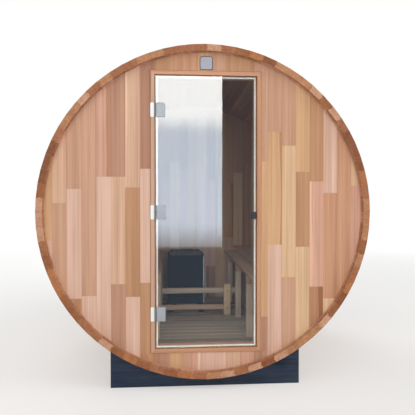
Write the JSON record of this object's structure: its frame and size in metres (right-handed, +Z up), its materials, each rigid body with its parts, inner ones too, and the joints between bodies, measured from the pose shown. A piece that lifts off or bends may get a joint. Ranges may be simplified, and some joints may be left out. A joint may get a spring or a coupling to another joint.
{
  "type": "barrel sauna",
  "caption": "Wooden barrel sauna on two cradles, with end walls of boards, a hinged glass door, slatted benches, a duckboard floor and a small heater.",
  "frame": {"origin": "on the ground under the middle of the barrel", "axes": "+Z up, the barrel's axis along Y, the door in the end at -Y, +X to the right of someone facing the door"},
  "size_m": [2.0036, 1.8, 2.0621],
  "materials": {
    "stave_cedar": "planed, oiled",
    "wall_cedar": "planed",
    "frame_cedar": "planed",
    "floor_wood": "planed",
    "bench_wood": "planed",
    "guard_wood": "planed",
    "cradle_stain": "dark stain",
    "clear_glass": "clear",
    "seal": "matte",
    "hinge_white": "white",
    "hinge_satin": "satin",
    "catch": "matte",
    "plaque": "brushed",
    "heater_enamel": "satin",
    "heater_stone": "rough",
    "band_steel": "brushed"
  },
  "bodies": {
    "cabin": {"band_bolts": "band_steel", "band_front": "band_steel", "band_rear": "band_steel", "bench_bearers": "bench_wood", "bench_left_slats": "bench_wood", "bench_legs": "bench_wood", "bench_right_slats": "bench_wood", "catch_keeper": "catch", "cradle_front": "cradle_stain", "cradle_rear": "cradle_stain", "door_frame_head": "frame_cedar", "door_frame_sill": "frame_cedar", "door_jamb_left": "frame_cedar", "door_jamb_right": "frame_cedar", "door_seal": "seal", "floor_bearers": "floor_wood", "floor_slats": "floor_wood", "front_wall_head": "wall_cedar", "front_wall_left": "wall_cedar", "front_wall_right": "wall_cedar", "front_wall_sill": "wall_cedar", "guard_posts": "guard_wood", "guard_rails": "guard_wood", "heater": "heater_enamel", "heater_stones": "heater_stone", "hinge_leaf_bottom": "hinge_white", "hinge_leaf_middle": "hinge_white", "hinge_leaf_top": "hinge_white", "plaque": "plaque", "rear_wall": "wall_cedar", "staves_01": "stave_cedar", "staves_02": "stave_cedar", "staves_03": "stave_cedar", "staves_04": "stave_cedar", "staves_05": "stave_cedar", "staves_06": "stave_cedar", "staves_07": "stave_cedar", "staves_08": "stave_cedar"},
    "door": {"door_glass": "clear_glass", "door_catch": "catch", "hinge_clamp_top": "hinge_satin", "hinge_clamp_middle": "hinge_satin", "hinge_clamp_bottom": "hinge_satin"}
  },
  "joints": [
    {"name": "door_hinge", "type": "hinge", "parent": "cabin", "child": "door", "pos_m": [-0.307, -0.8675, 1.0603], "axis": [0, 0, -1], "range_deg": [0, 110]}
  ]
}
